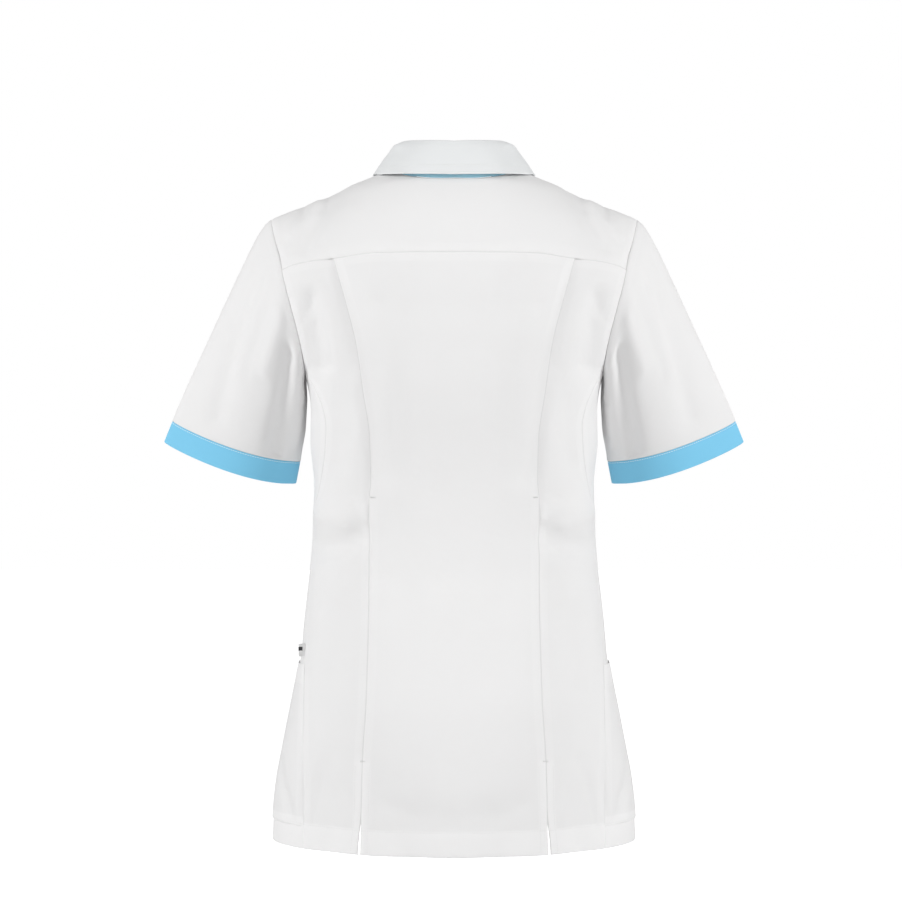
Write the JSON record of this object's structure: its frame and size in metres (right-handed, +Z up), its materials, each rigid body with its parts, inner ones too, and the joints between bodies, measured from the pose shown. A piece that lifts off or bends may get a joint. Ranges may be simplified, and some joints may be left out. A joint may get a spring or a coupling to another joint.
{
  "type": "medical tunic",
  "caption": "Short-sleeved healthcare tunic in its worn form, with collar, back yoke, action pleats, hem vents, hip pockets and contrast sleeve bands; hollow.",
  "frame": {"origin": "centre of the neck opening, level with the top of the shoulders, where the wearer's neck and shoulders hold the garment", "axes": "+Z up out of the neck, -Y towards the front of the garment, +X to the wearer's left"},
  "size_m": [0.6232, 0.2649, 0.7362],
  "materials": {
    "white_cloth": "matt woven poly-cotton",
    "blue_cloth": "matt woven poly-cotton, sky blue"
  },
  "bodies": {
    "root": {"yoke": "white_cloth", "back_centre": "white_cloth", "back_side_left": "white_cloth", "back_side_right": "white_cloth", "front_left": "white_cloth", "front_right": "white_cloth", "collar_leaf": "white_cloth", "collar_stand": "blue_cloth", "sleeve_left": "white_cloth", "sleeve_right": "white_cloth", "cuff_left": "blue_cloth", "cuff_right": "blue_cloth", "pocket_left": "white_cloth", "pocket_right": "white_cloth", "side_tab": "white_cloth"}
  },
  "joints": []
}
